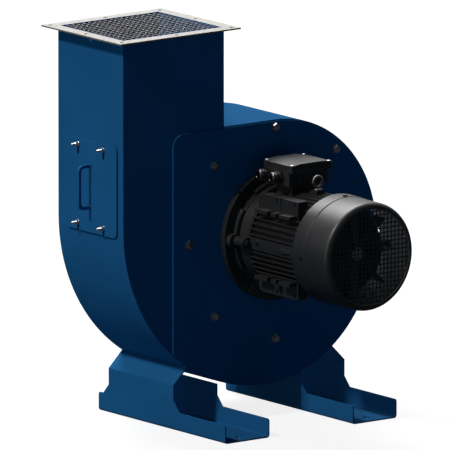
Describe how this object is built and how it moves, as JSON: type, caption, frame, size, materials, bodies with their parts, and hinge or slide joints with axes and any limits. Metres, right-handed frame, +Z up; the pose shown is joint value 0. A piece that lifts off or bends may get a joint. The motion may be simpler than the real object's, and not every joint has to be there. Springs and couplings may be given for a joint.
{
  "type": "centrifugal fan",
  "caption": "Centrifugal fan with a scroll casing, an upward outlet with a wire guard, sheet feet and a flange-mounted electric motor.",
  "frame": {"origin": "centre of the rectangle of the four anchor holes, on the floor plane under the feet", "axes": "+Z up along the outlet duct, +Y along the shaft from the motor to the inlet, +X to the right seen from the motor"},
  "size_m": [0.6198, 0.544, 0.745],
  "materials": {
    "casing_paint": "satin blue powder coat on sheet steel",
    "zinc_sheet": "light zinc-plated sheet and wire",
    "zinc_fastener": "bright zinc-plated fasteners",
    "motor_paint": "semi-matt black-grey enamel on cast aluminium",
    "machined_steel": "turned and ground steel",
    "core_plate": "stacked electrical sheet",
    "cast_aluminium": "die-cast rotor bars and rings",
    "copper_wire": "varnished copper windings",
    "impeller_steel": "grey primer on sheet steel",
    "black_rubber": "soft black seal rubber",
    "fan_plastic": "black glass-filled plastic",
    "board_plastic": "brown moulding compound",
    "stud_brass": "plain brass",
    "black_steel": "black oxide on steel screws and studs",
    "gland_metal": "nickel-plated brass"
  },
  "bodies": {
    "housing": {"scroll_wrapper": "casing_paint", "motor_side_plate": "casing_paint", "inlet_side_plate": "casing_paint", "cutoff_tongue": "casing_paint", "outlet_flange": "zinc_sheet", "outlet_guard": "zinc_sheet", "guard_frame": "casing_paint", "guard_rivets": "casing_paint", "motor_cover_plate": "casing_paint", "cover_bolts": "zinc_fastener", "cover_weld_nuts": "zinc_fastener", "left_foot": "casing_paint", "right_foot": "casing_paint", "hatch_studs": "zinc_fastener", "hatch_washers": "zinc_fastener", "hatch_nuts": "zinc_fastener", "inlet_cone": "zinc_sheet", "inlet_collar": "casing_paint", "inlet_screws": "zinc_fastener", "bearing_outer_rings": "machined_steel", "preload_washer": "machined_steel", "shaft_seal": "black_rubber", "drive_end_shield": "motor_paint", "end_shield_screws": "black_steel", "motor_flange_bolts": "black_steel", "motor_flange_nuts": "zinc_fastener", "stator_frame": "motor_paint", "stator_core": "core_plate", "stator_windings": "copper_wire", "fan_end_shield": "motor_paint", "fan_cowl": "motor_paint", "cowl_screws": "black_steel", "cowl_grille": "motor_paint", "terminal_box": "motor_paint", "terminal_box_gasket": "black_rubber", "terminal_box_lid": "motor_paint", "terminal_box_screws": "zinc_fastener", "terminal_board": "board_plastic", "terminal_studs": "stud_brass", "cable_glands": "gland_metal", "blanking_plug": "motor_paint", "lifting_eye": "zinc_fastener"},
    "rotor": {"impeller_backplate": "impeller_steel", "impeller_blades": "impeller_steel", "impeller_front_ring": "impeller_steel", "impeller_hub": "machined_steel", "impeller_rivets": "zinc_fastener", "impeller_screw": "zinc_fastener", "motor_shaft": "machined_steel", "shaft_key": "machined_steel", "rotor_core": "cast_aluminium", "bearing_inner_rings": "machined_steel", "cooling_fan": "fan_plastic", "fan_clip": "machined_steel"},
    "hatch": {"hatch_plate": "casing_paint", "hatch_gasket": "black_rubber", "hatch_handle": "casing_paint"}
  },
  "joints": [
    {"name": "impeller_spin", "type": "hinge", "parent": "housing", "child": "rotor", "pos_m": [0.0335, 0, 0.345], "axis": [0, 1, 0], "continuous": true},
    {"name": "hatch_slide", "type": "slide", "parent": "housing", "child": "hatch", "axis": [0, 0, 1], "range_m": [0, 0.014]}
  ]
}
